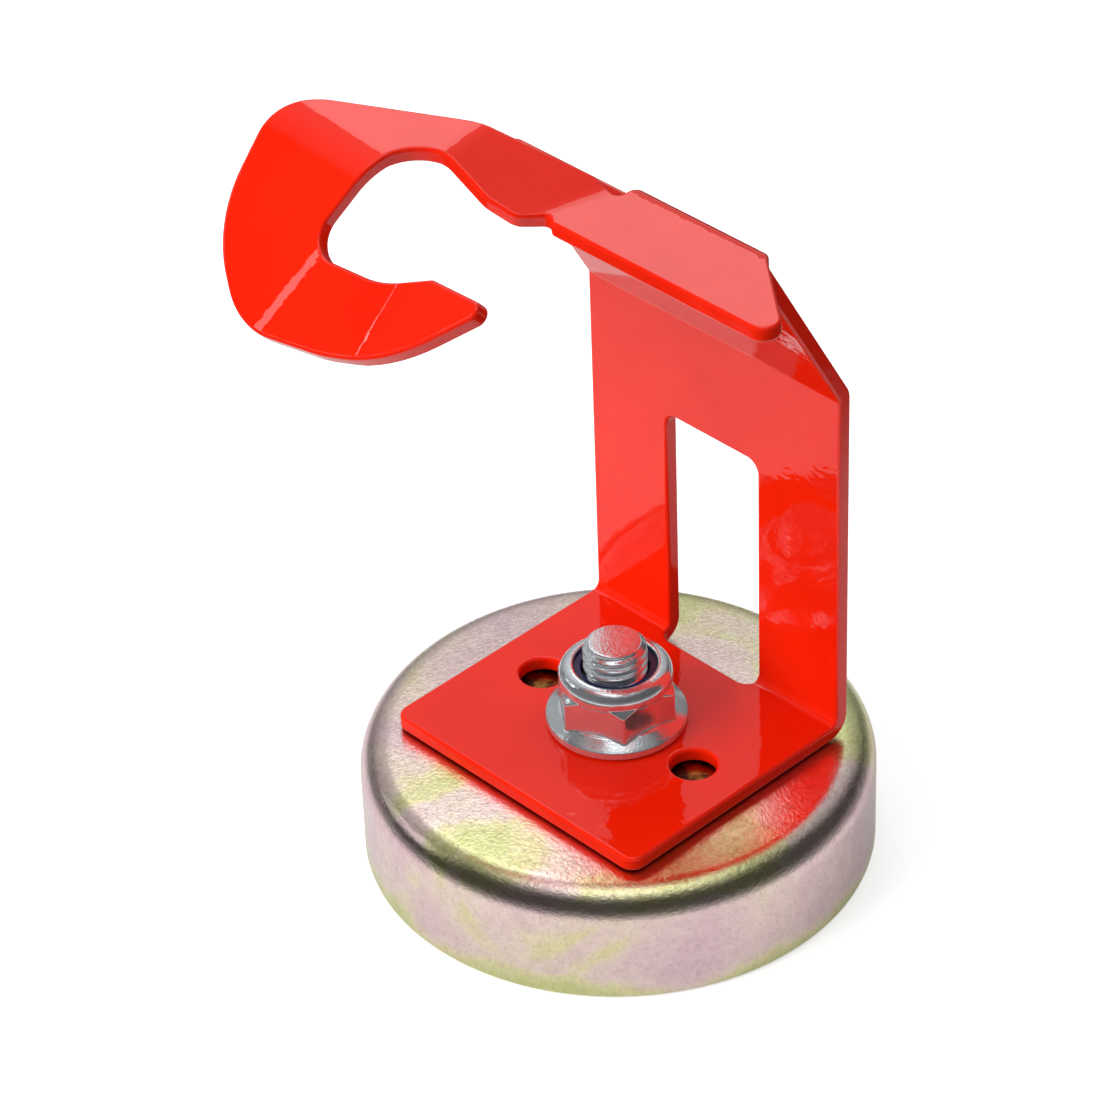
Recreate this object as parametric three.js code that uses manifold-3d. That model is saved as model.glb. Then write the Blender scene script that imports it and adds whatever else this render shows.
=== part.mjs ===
// Magnetic torch rest: a folded sheet-steel bracket clamped to a pot magnet by a flange lock nut.
// Millimetres, +Z up. The origin is the centre of the magnet's working face.
// The front faces -Y: the foot's free edge is in front, the leg stands at the back, the hook is at -X.
import * as THREE from 'three';
import { mergeVertices } from 'three/addons/utils/BufferGeometryUtils.js';
import ManifoldModule from 'manifold-3d';

// Pot magnet
const CUP_RADIUS = 40;
const CUP_HEIGHT = 19.2;
const CUP_WALL = 3;
const CUP_ROOF = 3.5;
const SHOULDER = 5;
const RING_OUTER = 34.5;
const RING_INNER = 17;
const POLE_RADIUS = 13;
const FIT = 0.15;

// Stud and lock nut, M10
const STUD_RADIUS = 5;
const STUD_TOP = 36.8;
const PITCH = 1.5;
const THREAD_DEPTH = 0.8;
const HEAD_RADIUS = 9;
const HEAD_HEIGHT = 4;
const BORE_RADIUS = 5.3;
const FLANGE_RADIUS = 10.95;
const ACROSS_FLATS = 17;
const NUT_HEIGHT = 10.6;
const LIP_RADIUS = 6.5;

// Bracket: distances named front, mid or foot count forwards from the stud, along -Y
const SHEET = 2.5;
const REST_GAP = 0.25;
const BEND = 2.6;
const HALF_WIDTH = 26;
const FOOT_FRONT = 22.9;
const LEG_MID = -22.95;
const LEAN = Math.PI / 6;
const LEAN_START = 82.5;
const SHELF_MID = 116.75;
const SHELF_FRONT = 11.3;
const SHELF_TIP = 46.6;
const WINDOW_HALF = 9.55;
const WINDOW_ASIDE = -0.25;
const WINDOW_FOOT = -19.4;
const WINDOW_TOP = 63.2;
const SLOT_HOLE_RADIUS = 3.6;
const SLOT_HOLE_X = 16.4;
const STUD_HOLE_RADIUS = 5.5;
const FREE_EDGE_DROP = 3;
const MERGE = 0.003;

const RIGHT_ANGLE = Math.PI / 2;
const degrees = (value) => value * Math.PI / 180;
const setback = (angle) => BEND * Math.tan(angle / 2);
const arcLength = (angle) => BEND * angle;

// The sheet is drawn flat, as u along X and v. On the shelf v is the distance forwards of the stud.
// Going to smaller v it runs down the leaning panel and the leg, then out along the foot.
const FOOT_BOTTOM = CUP_HEIGHT + REST_GAP;
const FOOT_MID = FOOT_BOTTOM + SHEET / 2;
const LEAN_LENGTH = (SHELF_MID - LEAN_START) / Math.cos(LEAN);
const SHELF_START = LEG_MID + LEAN_LENGTH * Math.sin(LEAN) + setback(RIGHT_ANGLE - LEAN);
const TOP_BEND = SHELF_START - arcLength(RIGHT_ANGLE - LEAN);
const LEAN_BOTTOM = TOP_BEND - LEAN_LENGTH + setback(LEAN) + setback(RIGHT_ANGLE - LEAN);
const LEG_TOP = LEAN_BOTTOM - arcLength(LEAN);
const LEG_LENGTH = LEAN_START - FOOT_MID - setback(LEAN) - setback(RIGHT_ANGLE);
const LEG_BOTTOM = LEG_TOP - LEG_LENGTH;
const FOOT_START = LEG_BOTTOM - arcLength(RIGHT_ANGLE);
const footV = (forward) => FOOT_START - (forward - LEG_MID - setback(RIGHT_ANGLE));
const legV = (height) => LEG_BOTTOM + (height - FOOT_MID - setback(RIGHT_ANGLE));

// A fold: its centre line passes through `at`, square to `away`, which points from the shelf outwards.
// A positive angle folds what lies beyond the line upwards.
function fold(at, away, angle, radius, steps) {
  const size = Math.hypot(away[0], away[1]);
  const unit = [away[0] / size, away[1] / size];
  return { at, away: unit, turn: Math.abs(angle), up: Math.sign(angle), radius, steps };
}

const acrossFold = (v, angle, steps) =>
  fold([0, v + arcLength(angle) / 2], [0, -1], -angle, BEND, steps);
const legFolds = [
  acrossFold(TOP_BEND, RIGHT_ANGLE - LEAN, 6),
  acrossFold(LEG_TOP, LEAN, 3),
  acrossFold(FOOT_START, RIGHT_ANGLE, 8),
];
const rise = fold([-0.3, 6.5], [-10.5, -2.4], degrees(20), 9, 4);
const crest = fold([-18.0, 10.0], [-7.2, 0.6], degrees(-16), 10, 4);
const drop = fold([-31.8, 22.5], [0, 1], degrees(-38), 11, 7);
const valley = fold([-24.0, 43.4], [13.4, 2.1], degrees(10), 20, 4);
const lift = fold([-5.2, 41.0], [12.2, -0.7], degrees(8), 8, 3);
const hookFolds = [rise, crest, drop, valley, lift];
const zoneLength = (bend) => bend.turn * bend.radius;
const DROP_START = drop.at[1] - zoneLength(drop) / 2;
const DROP_END = drop.at[1] + zoneLength(drop) / 2;

// Distance travelled past the start of a fold's curved zone.
function travel(bend, u, v) {
  const along = (u - bend.at[0]) * bend.away[0] + (v - bend.at[1]) * bend.away[1];
  return along + zoneLength(bend) / 2;
}

// The hook curls back on itself, so each fold reads only its own stretch of the sheet.
function hookTravel(bend, u, v) {
  if (bend === rise || bend === crest) {
    return v > DROP_START ? Infinity : travel(bend, u, v);
  }
  if (bend === valley || bend === lift) {
    return v > DROP_END ? travel(bend, u, v) : 0;
  }
  return travel(bend, u, v);
}

function applyFold(bend, point, gone) {
  const past = travel(bend, point.x, point.y);
  const angle = Math.min(gone / bend.radius, bend.turn);
  const extra = past - angle * bend.radius;
  const arm = bend.radius - bend.up * point.z;
  const forward = arm * Math.sin(angle) + extra * Math.cos(angle);
  point.x += (forward - past) * bend.away[0];
  point.y += (forward - past) * bend.away[1];
  point.z = bend.up * (bend.radius - arm * Math.cos(angle) + extra * Math.sin(angle));
}

// Carries a point of the flat sheet, w above its middle surface, to its folded place.
function place(u, v, w) {
  const point = new THREE.Vector3(u, v, w);
  const onLeg = v < SHELF_START;
  const chain = onLeg ? legFolds : hookFolds;
  for (const bend of [...chain].reverse()) {
    const gone = onLeg ? travel(bend, u, v) : hookTravel(bend, u, v);
    if (gone > 0) {
      applyFold(bend, point, gone);
    }
  }
  return new THREE.Vector3(point.x, -point.y, point.z + SHELF_MID);
}

const wasm = await ManifoldModule();
wasm.setup();

function toManifold(geometry) {
  const bare = new THREE.BufferGeometry();
  bare.setAttribute('position', geometry.attributes.position);
  bare.setIndex(geometry.index);
  const merged = mergeVertices(bare, 1e-4);
  const mesh = new wasm.Mesh({
    numProp: 3,
    vertProperties: new Float32Array(merged.attributes.position.array),
    triVerts: new Uint32Array(merged.index.array),
  });
  mesh.merge();
  return new wasm.Manifold(mesh);
}

function fromManifold(solid) {
  const mesh = solid.getMesh();
  const geometry = new THREE.BufferGeometry();
  geometry.setAttribute('position', new THREE.BufferAttribute(new Float32Array(mesh.vertProperties), 3));
  geometry.setIndex(new THREE.BufferAttribute(new Uint32Array(mesh.triVerts), 1));
  return geometry;
}

// Points of a closed outline given as [x, y, corner radius], with every corner rounded by an arc.
function roundedOutline(corners) {
  const points = [];
  corners.forEach(([x, y, radius], i) => {
    const corner = new THREE.Vector2(x, y);
    const before = corners[(i + corners.length - 1) % corners.length];
    const after = corners[(i + 1) % corners.length];
    const back = new THREE.Vector2(before[0] - x, before[1] - y).normalize();
    const ahead = new THREE.Vector2(after[0] - x, after[1] - y).normalize();
    const half = Math.acos(THREE.MathUtils.clamp(back.dot(ahead), -1, 1)) / 2;
    const centre = back.clone().add(ahead).normalize().multiplyScalar(radius / Math.sin(half)).add(corner);
    const start = back.multiplyScalar(radius / Math.tan(half)).add(corner).sub(centre);
    const side = Math.sign(start.clone().cross(corner.clone().sub(centre)));
    const sweep = side * (Math.PI - 2 * half);
    const steps = Math.max(2, Math.ceil(Math.abs(sweep) / degrees(radius > 4 ? 6 : 15)));
    for (let k = 0; k <= steps; k += 1) {
      const spoke = start.clone().rotateAround(new THREE.Vector2(), sweep * k / steps);
      points.push(spoke.add(centre));
    }
  });
  return points;
}

function circleOutline(x, y, radius, steps) {
  const path = new THREE.Path();
  path.absarc(x, y, radius, 0, 2 * Math.PI, true);
  return path.getPoints(steps).slice(0, -1);
}

function sheetOutline() {
  const foot = footV(FOOT_FRONT);
  const freeEdge = TOP_BEND - FREE_EDGE_DROP;
  return roundedOutline([
    [-HALF_WIDTH, foot, 2.5],
    [HALF_WIDTH, foot, 2.5],
    [HALF_WIDTH, TOP_BEND - 1.3, 1.5],
    [SHELF_TIP, SHELF_FRONT, 2.5],
    [1.4, SHELF_FRONT, 0.8],
    [-0.3, 9.9, 1],
    [-3.2, 13.9, 2.9],
    [-8.3, 15.0, 4.7],
    [-22.7, 13.6, 7],
    [-25.7, 37.0, 4.6],
    [-9.4, 35.3, 18.6],
    [0.6, 30.9, 1.5],
    [16.0, 30.0, 1.6],
    [1.9, 43.9, 35],
    [-11.0, 48.2, 32],
    [-28.6, 51.4, 13.8],
    [-42.4, 40.6, 21.6],
    [-45.0, 19.6, 10.4],
    [-20.0, 6.0, 30.6],
    [-2.1, -0.5, 4],
    [3.3, 0.1, 0.8],
    [3.3, freeEdge, 1],
    [-HALF_WIDTH, freeEdge, 3],
  ]);
}

function sheetHoles() {
  const window = roundedOutline([
    [WINDOW_ASIDE - WINDOW_HALF, footV(WINDOW_FOOT), 2.2],
    [WINDOW_ASIDE - WINDOW_HALF, legV(WINDOW_TOP), 2.2],
    [WINDOW_ASIDE + WINDOW_HALF, legV(WINDOW_TOP), 2.2],
    [WINDOW_ASIDE + WINDOW_HALF, footV(WINDOW_FOOT), 2.2],
  ]);
  return [
    window,
    circleOutline(0, footV(0), STUD_HOLE_RADIUS, 32),
    circleOutline(-SLOT_HOLE_X, footV(0), SLOT_HOLE_RADIUS, 24),
    circleOutline(SLOT_HOLE_X, footV(0), SLOT_HOLE_RADIUS, 24),
  ];
}

// Splits every flat piece that `reach` picks along a line square to the fold's direction.
function splitPieces(pieces, bend, offset, reach) {
  const size = 400;
  const shift = offset - zoneLength(bend) / 2 + size / 2;
  const beyond = new THREE.BoxGeometry(size, size, 10);
  beyond.rotateZ(Math.atan2(bend.away[1], bend.away[0]));
  beyond.translate(bend.at[0] + shift * bend.away[0], bend.at[1] + shift * bend.away[1], 0);
  const cutter = toManifold(beyond);
  return pieces.flatMap((flat) => {
    const { min, max } = flat.boundingBox();
    if (!reach((min[1] + max[1]) / 2)) {
      return [flat];
    }
    return [flat.intersect(cutter), flat.subtract(cutter)].filter((half) => half.volume() > 1e-3);
  });
}

function splitAtFold(pieces, bend, reach) {
  let result = pieces;
  for (let k = 0; k <= bend.steps; k += 1) {
    result = splitPieces(result, bend, zoneLength(bend) * k / bend.steps, reach);
  }
  return result;
}

// Top faces of the flat sheet, cut into panels and narrow strips along every fold.
function flatTriangles() {
  const shape = new THREE.Shape(sheetOutline());
  shape.holes = sheetHoles().map((points) => new THREE.Path(points));
  let pieces = [toManifold(new THREE.ExtrudeGeometry(shape, { depth: 1, bevelEnabled: false }))];
  for (const bend of [...legFolds, drop]) {
    pieces = splitAtFold(pieces, bend, () => true);
  }
  for (const bend of [rise, crest]) {
    pieces = splitAtFold(pieces, bend, (v) => v > SHELF_START && v < DROP_START);
  }
  for (const bend of [valley, lift]) {
    pieces = splitAtFold(pieces, bend, (v) => v > DROP_END);
  }
  return pieces.flatMap((flat) => {
    const position = fromManifold(flat).toNonIndexed().attributes.position;
    const corners = Array.from({ length: position.count }, (_, i) =>
      new THREE.Vector3().fromBufferAttribute(position, i));
    const faces = corners.filter((_, i) => i % 3 === 0).map((_, i) => corners.slice(3 * i, 3 * i + 3));
    return faces.filter((face) => face.every((point) => point.z > 0.5));
  });
}

// The corner lying part-way along the side a-b of a flat face, or -1.
function cornerBetween(flat, a, b) {
  const side = flat[b].clone().sub(flat[a]);
  return flat.findIndex((point, i) => {
    const reach = point.clone().sub(flat[a]);
    const share = reach.dot(side) / side.lengthSq();
    const aside = reach.addScaledVector(side, -share).length();
    return i !== a && i !== b && share > 0 && share < 1 && aside < MERGE;
  });
}

// Splits faces where a neighbouring piece has a corner part-way along their sides.
function stitchFaces(faces, flat) {
  const done = [];
  const waiting = [...faces];
  while (waiting.length > 0) {
    const [a, b, c] = waiting.pop();
    const turned = [[a, b, c], [b, c, a], [c, a, b]];
    const open = turned.find(([from, to]) => cornerBetween(flat, from, to) >= 0);
    if (open === undefined) {
      done.push([a, b, c]);
    } else {
      const [from, to, third] = open;
      const middle = cornerBetween(flat, from, to);
      if (middle !== third) {
        waiting.push([from, middle, third], [middle, to, third]);
      }
    }
  }
  return done;
}

// Gives the flat triangles the sheet's thickness, walls along every free edge, and the folds.
function bracketGeometry() {
  const flat = [];
  const number = (point) => {
    const known = flat.findIndex((other) => other.distanceTo(point) < MERGE);
    return known < 0 ? flat.push(point) - 1 : known;
  };
  const faces = flatTriangles().map((triangle) => triangle.map(number));
  const solid = stitchFaces(faces.filter(([a, b, c]) => a !== b && b !== c && c !== a), flat);
  const edges = new Set(solid.flatMap(([a, b, c]) => [`${a},${b}`, `${b},${c}`, `${c},${a}`]));
  const count = flat.length;
  const index = [];
  for (const [a, b, c] of solid) {
    index.push(c, b, a, count + a, count + b, count + c);
  }
  for (const edge of edges) {
    const [a, b] = edge.split(',').map(Number);
    if (!edges.has(`${b},${a}`)) {
      index.push(b, count + b, count + a, a, b, count + a);
    }
  }
  const top = flat.map((point) => place(point.x, point.y, SHEET / 2));
  const bottom = flat.map((point) => place(point.x, point.y, -SHEET / 2));
  const geometry = new THREE.BufferGeometry().setFromPoints([...top, ...bottom]);
  geometry.setIndex(index);
  return geometry;
}

// Solid of revolution about +Z from [radius, height] points, outward when they run counter-clockwise
// in the radius-height plane.
function revolve(profile, segments) {
  const points = profile.map(([radius, height]) => new THREE.Vector2(radius, height));
  const geometry = new THREE.LatheGeometry(points, segments);
  geometry.rotateX(RIGHT_ANGLE);
  return geometry;
}

function arcPoints(x, y, radius, from, to, steps) {
  return Array.from({ length: steps + 1 }, (_, k) => {
    const angle = degrees(from + (to - from) * k / steps);
    return [x + radius * Math.cos(angle), y + radius * Math.sin(angle)];
  });
}

const closed = (profile) => [...profile, profile[0]];

function cupGeometry() {
  const inner = CUP_RADIUS - CUP_WALL;
  const roof = CUP_HEIGHT - CUP_ROOF;
  return revolve(closed([
    ...arcPoints(CUP_RADIUS - 0.8, 0.8, 0.8, -90, 0, 3),
    ...arcPoints(CUP_RADIUS - SHOULDER, CUP_HEIGHT - SHOULDER, SHOULDER, 0, 90, 7),
    [STUD_RADIUS + FIT, CUP_HEIGHT],
    [STUD_RADIUS + FIT, roof],
    ...arcPoints(inner - 2, roof - 2, 2, 90, 0, 3),
    [inner, 0.5],
    [inner + 0.5, 0],
  ]), 80);
}

function ringGeometry(inner, outer, bottom, top, segments) {
  return revolve(closed([
    [inner, bottom],
    [outer - 0.4, bottom],
    [outer, bottom + 0.4],
    [outer, top],
    [inner, top],
  ]), segments);
}

function poleGeometry() {
  const top = CUP_HEIGHT - CUP_ROOF - FIT;
  return revolve(closed([
    [HEAD_RADIUS + FIT, 0],
    [POLE_RADIUS - 0.5, 0],
    [POLE_RADIUS, 0.5],
    [POLE_RADIUS, top],
    [STUD_RADIUS + FIT, top],
    [STUD_RADIUS + FIT, HEAD_HEIGHT + FIT],
    [HEAD_RADIUS + FIT, HEAD_HEIGHT + FIT],
  ]), 64);
}

// Thread depth at a height and turn angle: a helix of V grooves with narrow flats.
function threadRadius(angle, height) {
  const phase = THREE.MathUtils.euclideanModulo(height / PITCH - angle / (2 * Math.PI), 1);
  const groove = THREE.MathUtils.clamp(1.35 - 2.9 * Math.abs(phase - 0.5), 0, 1);
  return STUD_RADIUS - THREAD_DEPTH * groove;
}

function studGeometry() {
  const segments = 32;
  const threadStart = 24;
  const chamfer = 1.1;
  const rows = [
    [0, 0],
    [HEAD_RADIUS - 0.5, 0],
    [HEAD_RADIUS, 0.5],
    [HEAD_RADIUS, HEAD_HEIGHT],
    [STUD_RADIUS - 0.1, HEAD_HEIGHT],
    [STUD_RADIUS - 0.1, threadStart],
  ];
  const step = PITCH / 4;
  for (let z = threadStart + step; z < STUD_TOP - step; z += step) {
    rows.push([Infinity, z]);
  }
  rows.push([STUD_RADIUS - chamfer, STUD_TOP], [0, STUD_TOP]);
  const points = rows.map(([radius, height]) => new THREE.Vector2(Math.min(radius, 1), height));
  const geometry = new THREE.LatheGeometry(points, segments);
  const position = geometry.attributes.position;
  for (let i = 0; i < position.count; i += 1) {
    const [radius, height] = rows[i % rows.length];
    const angle = 2 * Math.PI * Math.floor(i / rows.length) / segments;
    const limit = STUD_RADIUS - chamfer + (STUD_TOP - height);
    const shaped = Math.min(radius, Math.min(limit, threadRadius(angle, height)));
    const actual = Number.isFinite(radius) ? radius : shaped;
    position.setXYZ(i, actual * Math.cos(angle), actual * Math.sin(angle), height);
  }
  return geometry;
}

function hexPrism(acrossFlats, bottom, top) {
  const corners = Array.from({ length: 6 }, (_, k) => {
    const angle = degrees(60 * k + 22);
    const radius = acrossFlats / Math.sqrt(3);
    return new THREE.Vector2(radius * Math.cos(angle), radius * Math.sin(angle));
  });
  const geometry = new THREE.ExtrudeGeometry(new THREE.Shape(corners), {
    depth: top - bottom,
    bevelEnabled: false,
    curveSegments: 1,
  });
  return geometry.translate(0, 0, bottom);
}

// Flange nut: hexagon trimmed by a domed envelope, a conical flange and a crimped round collar.
function nutGeometry() {
  const corner = ACROSS_FLATS / Math.sqrt(3);
  const hexagon = toManifold(hexPrism(ACROSS_FLATS, 0.8, 8.4));
  const envelope = toManifold(revolve([
    [0, 0.5],
    [corner, 0.5],
    [corner, 6.9],
    [8.7, 7.9],
    [8.2, 8.6],
    [0, 8.6],
  ], 48));
  const flange = toManifold(revolve([
    [0, 0],
    [FLANGE_RADIUS - 0.3, 0],
    [FLANGE_RADIUS, 0.3],
    [FLANGE_RADIUS, 1.2],
    [FLANGE_RADIUS - 0.3, 1.4],
    [9, 2.6],
    [0, 2.6],
  ], 64));
  const collar = toManifold(revolve([
    [0, 7.2],
    [8.5, 7.2],
    [8.86, 7.8],
    ...arcPoints(6.76, NUT_HEIGHT - 2.15, 2.1, 0, 72, 4),
    [LIP_RADIUS + 0.4, NUT_HEIGHT],
    [0, NUT_HEIGHT],
  ], 48));
  const hollow = toManifold(revolve([
    [0, -1],
    [BORE_RADIUS, -1],
    [BORE_RADIUS, 7.4],
    [LIP_RADIUS + 0.5, 7.4],
    [LIP_RADIUS + 0.5, NUT_HEIGHT - 0.5],
    [LIP_RADIUS, NUT_HEIGHT - 0.4],
    [LIP_RADIUS, NUT_HEIGHT + 1],
    [0, NUT_HEIGHT + 1],
  ], 48));
  const body = wasm.Manifold.union([hexagon.intersect(envelope), flange, collar]);
  return fromManifold(body.subtract(hollow)).translate(0, 0, FOOT_BOTTOM + SHEET + REST_GAP);
}

function insertGeometry() {
  const nutBottom = FOOT_BOTTOM + SHEET + REST_GAP;
  const radius = LIP_RADIUS + 0.35;
  return revolve(closed([
    [BORE_RADIUS, nutBottom + 7.55],
    [radius, nutBottom + 7.55],
    [radius, nutBottom + NUT_HEIGHT - 0.65],
    [BORE_RADIUS + 0.3, nutBottom + NUT_HEIGHT - 0.65],
    [BORE_RADIUS, nutBottom + NUT_HEIGHT - 0.95],
  ]), 48);
}

function piece(name, geometry, color, metalness, roughness) {
  const material = new THREE.MeshStandardMaterial({ color, metalness, roughness });
  const mesh = new THREE.Mesh(geometry, material);
  mesh.name = name;
  material.name = name;
  return mesh;
}

const ringTop = CUP_HEIGHT - CUP_ROOF - FIT;
const spacerTop = ringTop - 6;
const part = new THREE.Group();
part.name = 'magnetic_torch_rest';
part.add(
  piece('magnet_cup', cupGeometry(), 0xb9ad8c, 0.9, 0.35),
  piece('ferrite_ring', ringGeometry(RING_INNER, RING_OUTER, 0.4, ringTop, 72), 0x2b2b2d, 0.1, 0.8),
  piece('outer_spacer', ringGeometry(RING_OUTER + FIT, CUP_RADIUS - CUP_WALL - FIT, 0.3, spacerTop, 72),
    0x1d1d1f, 0, 0.6),
  piece('inner_spacer', ringGeometry(POLE_RADIUS + FIT, RING_INNER - FIT, 0.3, spacerTop, 64),
    0x1d1d1f, 0, 0.6),
  piece('centre_pole', poleGeometry(), 0xa8a9a6, 0.9, 0.4),
  piece('stud', studGeometry(), 0xc9ccd0, 0.95, 0.25),
  piece('bracket', bracketGeometry(), 0xd81410, 0.1, 0.2),
  piece('lock_nut', nutGeometry(), 0xc9ccd0, 0.95, 0.2),
  piece('nylon_insert', insertGeometry(), 0x1b2350, 0, 0.5),
);

export default part;
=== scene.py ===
"""Studio scene of the magnetic torch rest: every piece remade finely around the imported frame."""
import math

import bpy
import numpy as np
from mathutils import Matrix, Vector
from mathutils.geometry import delaunay_2d_cdt


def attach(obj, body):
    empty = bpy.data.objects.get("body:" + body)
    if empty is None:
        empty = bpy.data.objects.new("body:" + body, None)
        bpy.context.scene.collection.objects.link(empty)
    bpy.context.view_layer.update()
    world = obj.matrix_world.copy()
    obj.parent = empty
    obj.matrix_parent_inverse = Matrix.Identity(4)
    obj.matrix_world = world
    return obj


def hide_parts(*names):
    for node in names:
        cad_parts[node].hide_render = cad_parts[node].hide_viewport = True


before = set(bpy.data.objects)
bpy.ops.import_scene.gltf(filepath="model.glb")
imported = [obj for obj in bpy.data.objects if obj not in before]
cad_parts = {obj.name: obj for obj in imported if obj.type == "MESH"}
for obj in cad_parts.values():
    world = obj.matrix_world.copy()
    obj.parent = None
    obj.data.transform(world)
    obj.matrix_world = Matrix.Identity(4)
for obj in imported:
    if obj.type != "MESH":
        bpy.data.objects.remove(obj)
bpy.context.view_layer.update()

MM = 0.001
TAU = 2 * math.pi

# Magnet and stud, in millimetres
CUP_RADIUS = 40.0
CUP_HEIGHT = 19.2
CUP_WALL = 3.0
CUP_ROOF = 3.5
SHOULDER = 5.0
RING_OUTER = 34.5
RING_INNER = 17.0
POLE_RADIUS = 13.0
FIT = 0.15
STUD_RADIUS = 5.0
STUD_TOP = 36.8
PITCH = 1.5
THREAD_DEPTH = 0.8
THREAD_START = 20.5
HEAD_RADIUS = 9.0
HEAD_HEIGHT = 4.0
NECK_RADIUS = 4.9
TIP_CHAMFER = 0.95
TIP_SLOPE = 1.15
FERRITE_BOTTOM = 0.4
RESIN_BOTTOM = 0.3
RESIN_DROP = 6

# Nut
BORE_RADIUS = 5.3
FLANGE_RADIUS = 10.95
ACROSS_FLATS = 17.0
NUT_HEIGHT = 10.6
NUT_TURN = math.radians(22)
LIP_RADIUS = 6.5
CORNER_RADIUS = 9.75
FLANGE_ROUND = 0.35
CROWN_RADIUS = 6.75
CROWN_START = 8.45
CROWN_ROUND = 2.15
CROWN_REACH = 2.14
INSERT_RADIUS = 6.85
INSERT_BOTTOM = 7.55
INSERT_DROP = 0.65

# Bracket
SHEET = 2.5
REST_GAP = 0.25
BEND = 2.6
HALF_WIDTH = 26.0
FOOT_FRONT = 22.9
LEG_MID = -22.95
LEAN = math.pi / 6
LEAN_START = 82.5
SHELF_MID = 116.75
SHELF_FRONT = 11.3
SHELF_TIP = 46.6
WINDOW_HALF = 9.55
WINDOW_ASIDE = -0.25
WINDOW_FOOT = -19.4
WINDOW_TOP = 63.2
SLOT_HOLE_RADIUS = 3.6
SLOT_HOLE_X = 16.4
STUD_HOLE_RADIUS = 5.5
FREE_EDGE_DROP = 3.0
EDGE_ROUND = 0.55

# Spacing of mesh points, in millimetres
PROFILE_STEP = 1.5
EDGE_STEP = 1.0
SHELF_STEP = 1.0
BEND_STEP = 1.6
PLAIN_STEP = 2.0

# Camera, its distance and offsets in millimetres
CAMERA_TURN = math.radians(46.87)
CAMERA_RISE = math.radians(36.56)
CAMERA_ROLL = math.radians(2.23)
CAMERA_DISTANCE = 700.9
CAMERA_ASIDE = (9.3, -43.8)
CAMERA_LENS = 146.06
CAMERA_SENSOR = 36

# Light on matt surfaces from the room all round
ROOM_FILL = 0.61

# The room in reflections: levels by direction, from 0 opposite an axis to 1 along it
BACKDROP_AXIS = (-0.55, 0.45, 0.70)
BACKDROP_LEVELS = [(0.0, 0.06), (0.80, 0.06), (0.815, 0.08), (0.848, 0.28), (0.946, 0.50), (0.985, 0.62)]
HEIGHT_AXIS = (0, 0, 1)
HEIGHT_LEVELS = [
    (0.0, 0.9), (0.50, 0.85), (0.545, 0.0), (0.90, 0.0), (0.925, 0.28), (0.965, 0.34), (0.975, 1.5),
]

# Floor, in metres: beyond the table's edge it is dark in reflections and gives no light
FLOOR_HALF = 4.0
FLOOR_DROP = 0.0002
TABLE_EDGE = (0.125, 0.165)
FLOOR_LIFT = 0.5

# Softboxes: name, place and target in metres, size, watts, whether shiny surfaces show it
SOFTBOXES = [
    ("back_left", (-0.149, 0.134, 0.300), (0, 0, 0.300), (0.17, 0.155), 0.112, True),
    ("back_upper", (-0.190, 0.123, 0.350), (0, 0, 0.350), (0.10, 0.12), 0.018, True),
    ("key", (-0.9, -2.3, 1.15), (0, 0, 0.05), (2.0, 2.0), 72, False),
    ("left_strip", (-0.448, -0.308, 0.370), (-0.015, -0.030, 0.108), (0.075, 0.16), 0.10, True),
    ("left_line", (-0.546, -0.203, 0.275), (-0.015, -0.030, 0.108), (0.015, 0.16), 0.03, True),
]


# ---------------------------------------------------------------- meshes

def new_piece(name, body, slot, points, faces, normals, material, *nodes):
    """A smooth mesh with its own normals, riding on a body and standing for the CAD nodes named."""
    mesh = bpy.data.meshes.new(name)
    mesh.from_pydata([tuple(p) for p in points * MM], [], faces)
    mesh.shade_smooth()
    mesh.normals_split_custom_set_from_vertices([tuple(n) for n in normals])
    mesh.materials.append(material)
    piece = bpy.data.objects.new(name, mesh)
    bpy.context.scene.collection.objects.link(piece)
    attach(piece, body)
    if nodes:
        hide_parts(*nodes)
    return piece


def unit(vectors):
    return vectors / np.maximum(np.linalg.norm(vectors, axis=-1, keepdims=True), 1e-12)


def wrapped_faces(rows, columns, closed):
    """Quads of a grid of rows that wraps round its columns, and round its rows too if closed."""
    faces = []
    for i in range(rows if closed else rows - 1):
        for j in range(columns):
            k = (j + 1) % columns
            n = (i + 1) % rows
            faces.append((i * columns + j, i * columns + k, n * columns + k, n * columns + j))
    return faces


def turned(radius, height, columns):
    """Grid points from radius and height, given per row or per row and column."""
    angle = TAU * np.arange(columns) / columns
    radius = np.broadcast_to(np.reshape(radius, (len(radius), -1)), (len(radius), columns))
    height = np.broadcast_to(np.reshape(height, (len(height), -1)), (len(height), columns))
    return np.stack([radius * np.cos(angle), radius * np.sin(angle), height], axis=-1)


def grid_surface(grid, closed):
    """Points, faces and normals of a grid of rows round +Z that runs with the solid on its left."""
    rows, columns = grid.shape[:2]
    across = np.roll(grid, -1, axis=1) - np.roll(grid, 1, axis=1)
    along = np.roll(grid, -1, axis=0) - np.roll(grid, 1, axis=0)
    if not closed:
        along[0] = grid[1] - grid[0]
        along[-1] = grid[-1] - grid[-2]
    normals = unit(np.cross(across, along))
    faces = wrapped_faces(rows, columns, closed)
    points = grid.reshape(-1, 3)
    normals = normals.reshape(-1, 3)
    if not closed:
        points, faces, normals = add_pole(points, faces, normals, 0, columns, True)
        last = (rows - 1) * columns
        points, faces, normals = add_pole(points, faces, normals, last, columns, False)
    return points, faces, normals


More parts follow.
